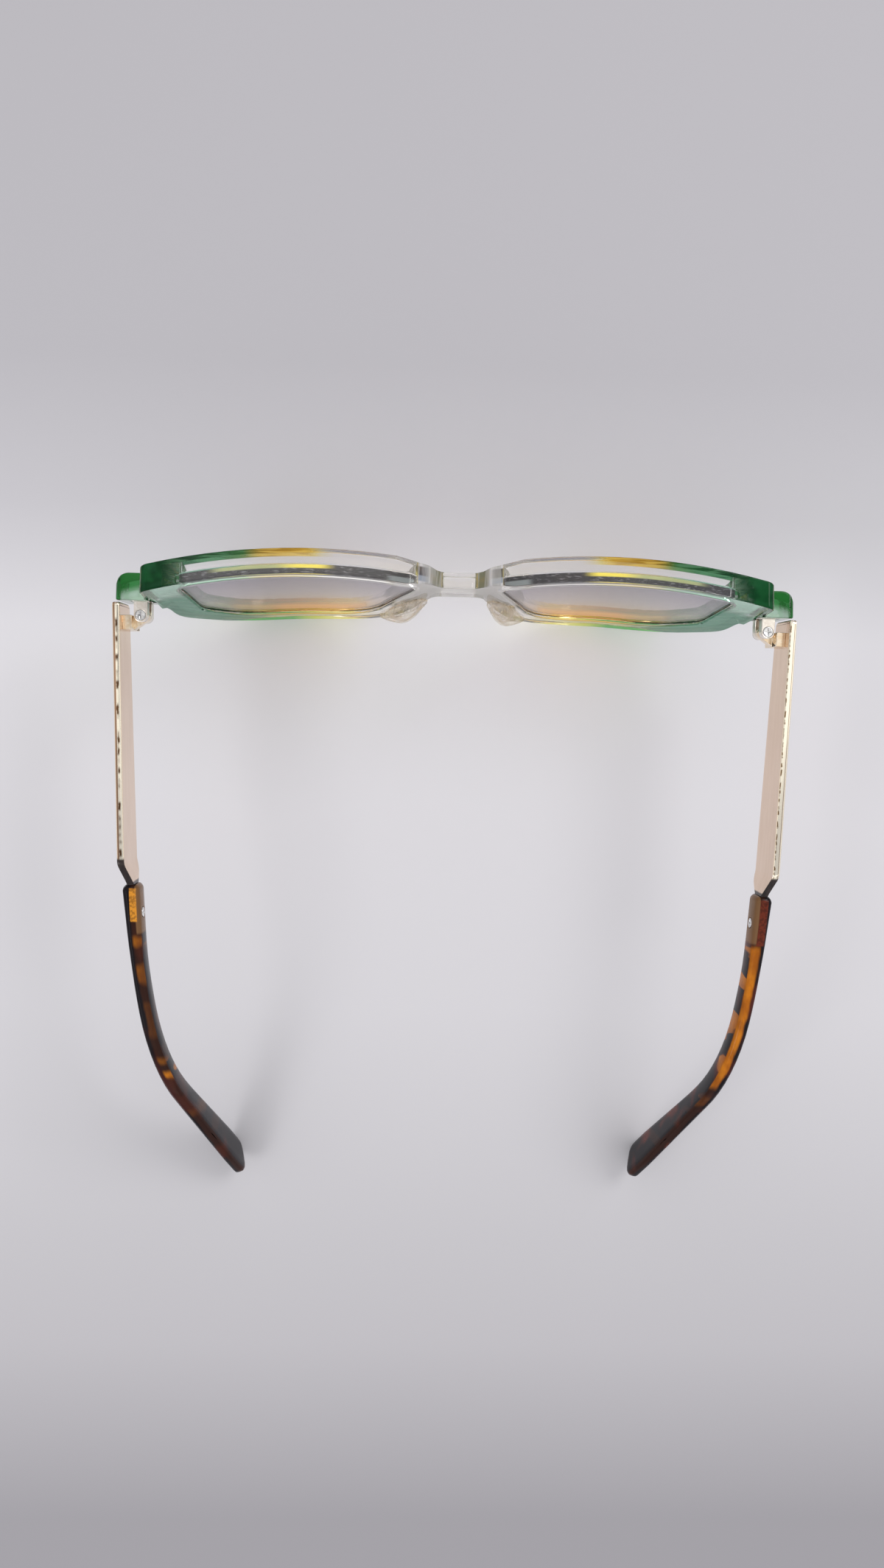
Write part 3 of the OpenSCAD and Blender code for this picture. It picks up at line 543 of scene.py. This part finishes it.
# painted reflections along the rounded top edge: how close the dark dashes lie, how long they
# are, and where they and the tan line run, in millimetres from the outer face
REFLECTED_DASHES = {
    "left": (330.0, (0.44, 0.60), (0.65, 1.10), (0.2, 0.60)),
    "right": (700.0, (0.44, 0.56), (1.2, 1.5), (0.40, 0.52)),
}
DASH_REFLECTION = {"left": (0.13, 0.07, 0.035), "right": (0.22, 0.12, 0.05)}
PLATE_ROUND = 0.3 * MM
for hand, start in NECK_START.items():
    closeness, length, run, tan_run = REFLECTED_DASHES[hand]
    gold, at = new_material("pale gold, " + hand)
    side, depth = at.axes()[:2]
    facing = facing_up(at)
    streaks = at.scaled(1.0, 0.12, 1.0).noise(700.0, 3.0, 0.6)
    polish = streaks.rise(0.3, 0.7)
    inside = PLATE_OUT - (depth * 1000.0 + PLATE_DEPTH) * PLATE_SLANT - abs(side) * 1000.0
    wavy = inside + (at.scaled(1.0, 0.5, 1.0).noise(1500.0, 2.0) - 0.5) * 0.5
    # painted highlight and reflections on the top edge: white, with dark dashes and a tan line
    reflected_dash = at.scaled(0.0, 1.0, 0.0).noise(closeness, 1.0).rise(*length)
    edge = (wavy.band(*run, 0.1) * reflected_dash).between(EDGE_HIGHLIGHT, DASH_REFLECTION[hand])
    edge = inside.band(*tan_run, 0.05).between(edge, EDGE_TAN_REFLECTION)
    edge = (1.0 - inside.rise(0.1, 0.2)).most(inside.rise(1.4, 1.5)).between(edge, EDGE_GOLD)
    cream = facing.rise(0.12, 0.30).between(polish.between(CREAM_LOW, CREAM_HIGH), edge)
    dark = depth.rise(start - NECK_SOFT, start + NECK_SOFT) * facing.rise(0.2, 0.5)
    dark = dark.most(depth.rise(NECK_ALL - NECK_SOFT, NECK_ALL))
    neck = polish.between(NECK_LOW, NECK_HIGH)
    rough = streaks * 0.10 + 0.08 + dark * 0.12
    waves = at.bump(at.scaled(1.0, 0.25, 1.0).noise(420.0, 2.0), 0.06 * MM, 0.6)
    close_material(at, at.node(
        "ShaderNodeBsdfPrincipled", Base_Color=dark.between(cream, neck),
        Metallic=1.0 - dark * 0.6, Roughness=rough, Normal=waves))
    plate = tumbled("temple_" + hand, "plate_" + hand, PLATE_ROUND, 3, FINE_EDGE)
    plate.data.materials.append(gold)
    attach(plate, "temple_" + hand)
    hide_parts("temple_" + hand)

# Tips. Tortoise acetate, near black at its edges with an amber heart, slotted for the plate's
# tongue, heated and bent down and in behind the ear, then polished.
SHELL_BLACK, SHELL_RED = (0.008, 0.006, 0.008), (0.11, 0.020, 0.012)
SHELL_BROWN, MOUTH_BROWN = (0.07, 0.022, 0.008), (0.19, 0.10, 0.045)
AMBER_DEEP, AMBER_PALE = (0.34, 0.095, 0.008), (0.58, 0.19, 0.012)
# where each amber patch starts and ends along the temple, in metres, and how strong it is
PATCHES = {
    "left": ((0.0088, 0.0108, 0.5), (0.0152, 0.0190, 0.42), (0.0240, 0.0310, 0.12),
             (0.0362, 0.0375, 0.35), (0.0400, 0.0420, 0.8), (0.0520, 0.0540, 0.1)),
    "right": ((0.0085, 0.0430, 1.0), (0.0455, 0.0480, 0.2)),
}
PATCH_WAVER, PATCH_SOFT = 0.003, 0.0009
REDNESS = {"left": 0.4, "right": 0.9}
# the tongue seen through the tip: its colour, and where it shows along and across it
TONGUE_SEEN = {
    "left": ((0.64, 0.26, 0.03), (-0.0020, 0.0053), (-1.0, 0.45)),
    "right": ((0.13, 0.026, 0.014), (-0.0020, 0.0084), (-0.7, 1.1)),
}
MOUTH_END = (0.0076, 0.0084)
# the tip's middle line in the picture, in millimetres: its place off the middle is the sum of
# these, times 1, the depth, its square and its cube
MIDDLE_LINE = (69.99, -0.0403, -0.003563, 7.256e-6)
TIP_ROUND = 0.35 * MM
for hand, spots in PATCHES.items():
    tongue_tint, (near, far), (inner, outer) = TONGUE_SEEN[hand]
    tortoise, at = new_material("tortoise acetate, " + hand)
    side, depth = at.axes()[:2]
    along = depth * 1000.0
    middle = along * MIDDLE_LINE[1] + MIDDLE_LINE[0]
    middle = middle + along * along * MIDDLE_LINE[2] + along * along * along * MIDDLE_LINE[3]
    off = abs(side) * 1000.0 - middle
    wobble = at.scaled(1.0, 0.6, 0.6).noise(260.0, 2.0) - 0.5
    amber = None
    for first, last, strength in spots:
        spot = (depth + wobble * PATCH_WAVER).band(first, last, PATCH_SOFT) * strength
        amber = spot if amber is None else amber.most(spot)
    blots = at.scaled(0.3, 1.0, 0.3).noise(230.0, 1.0).rise(0.53, 0.57) * 0.8
    top = facing_up(at).rise(0.15, 0.4)
    heart = (1.0 - (off + wobble * 1.2).rise(-0.05, 0.60)) * top.most(blots)
    streaky = at.scaled(1.0, 0.25, 1.0).noise(500.0, 2.0)
    amber = amber * heart * (streaky * 0.9 + 0.5).least(1.0)
    reddish = at.scaled(1.0, 0.6, 0.7).noise(150.0, 2.0).rise(0.48, 0.64) * REDNESS[hand]
    shell = reddish.between(SHELL_BLACK, SHELL_RED)
    shell = (heart * 0.35).between(shell, SHELL_BROWN)
    mottle = at.scaled(1.0, 0.5, 0.5).noise(420.0, 3.0).rise(0.3, 0.7)
    shell = amber.between(shell, mottle.between(AMBER_DEEP, AMBER_PALE))
    mouth = (1.0 - depth.rise(*MOUTH_END)) * off.band(-2.2, -0.7, 0.1)
    shell = (mouth * 0.85).between(shell, MOUTH_BROWN)
    grainy = at.noise(1700.0, 2.0).rise(0.38, 0.60)
    seen_through = depth.band(near, far, 0.2 * MM) * off.band(inner, outer, 0.12)
    shell = (seen_through * (grainy * 0.5 + 0.5)).between(shell, tongue_tint)
    tip_waves = at.bump(at.noise(240.0, 3.0), 0.03 * MM, 0.3)
    close_material(at, at.node(
        "ShaderNodeBsdfPrincipled", Base_Color=shell, Roughness=at.noise(300.0) * 0.08 + 0.07,
        IOR=ACETATE_IOR, Specular_IOR_Level=0.1, Normal=tip_waves))
    tip = tumbled("temple_tip_" + hand, "tip_" + hand, TIP_ROUND)
    tip.data.materials.append(tortoise)
    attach(tip, "temple_" + hand)
    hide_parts("temple_tip_" + hand)

# Screws. Small polished steel screws with a cross in the head: one is each hinge's pin, and one
# holds each tip on its tongue.
steel = metal("screw steel", (0.62, 0.62, 0.63), (0.88, 0.88, 0.88), 0.12, 1500.0)
SCREW_ROUND = 0.08 * MM
for hand in ("left", "right"):
    for node, body in (("hinge_screw_", "front"), ("tip_screw_", "temple_" + hand)):
        screw = tumbled(node + hand, node + "steel_" + hand, SCREW_ROUND, 2, FINE_EDGE)
        screw.data.materials.append(steel)
        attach(screw, body)
        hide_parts(node + hand)
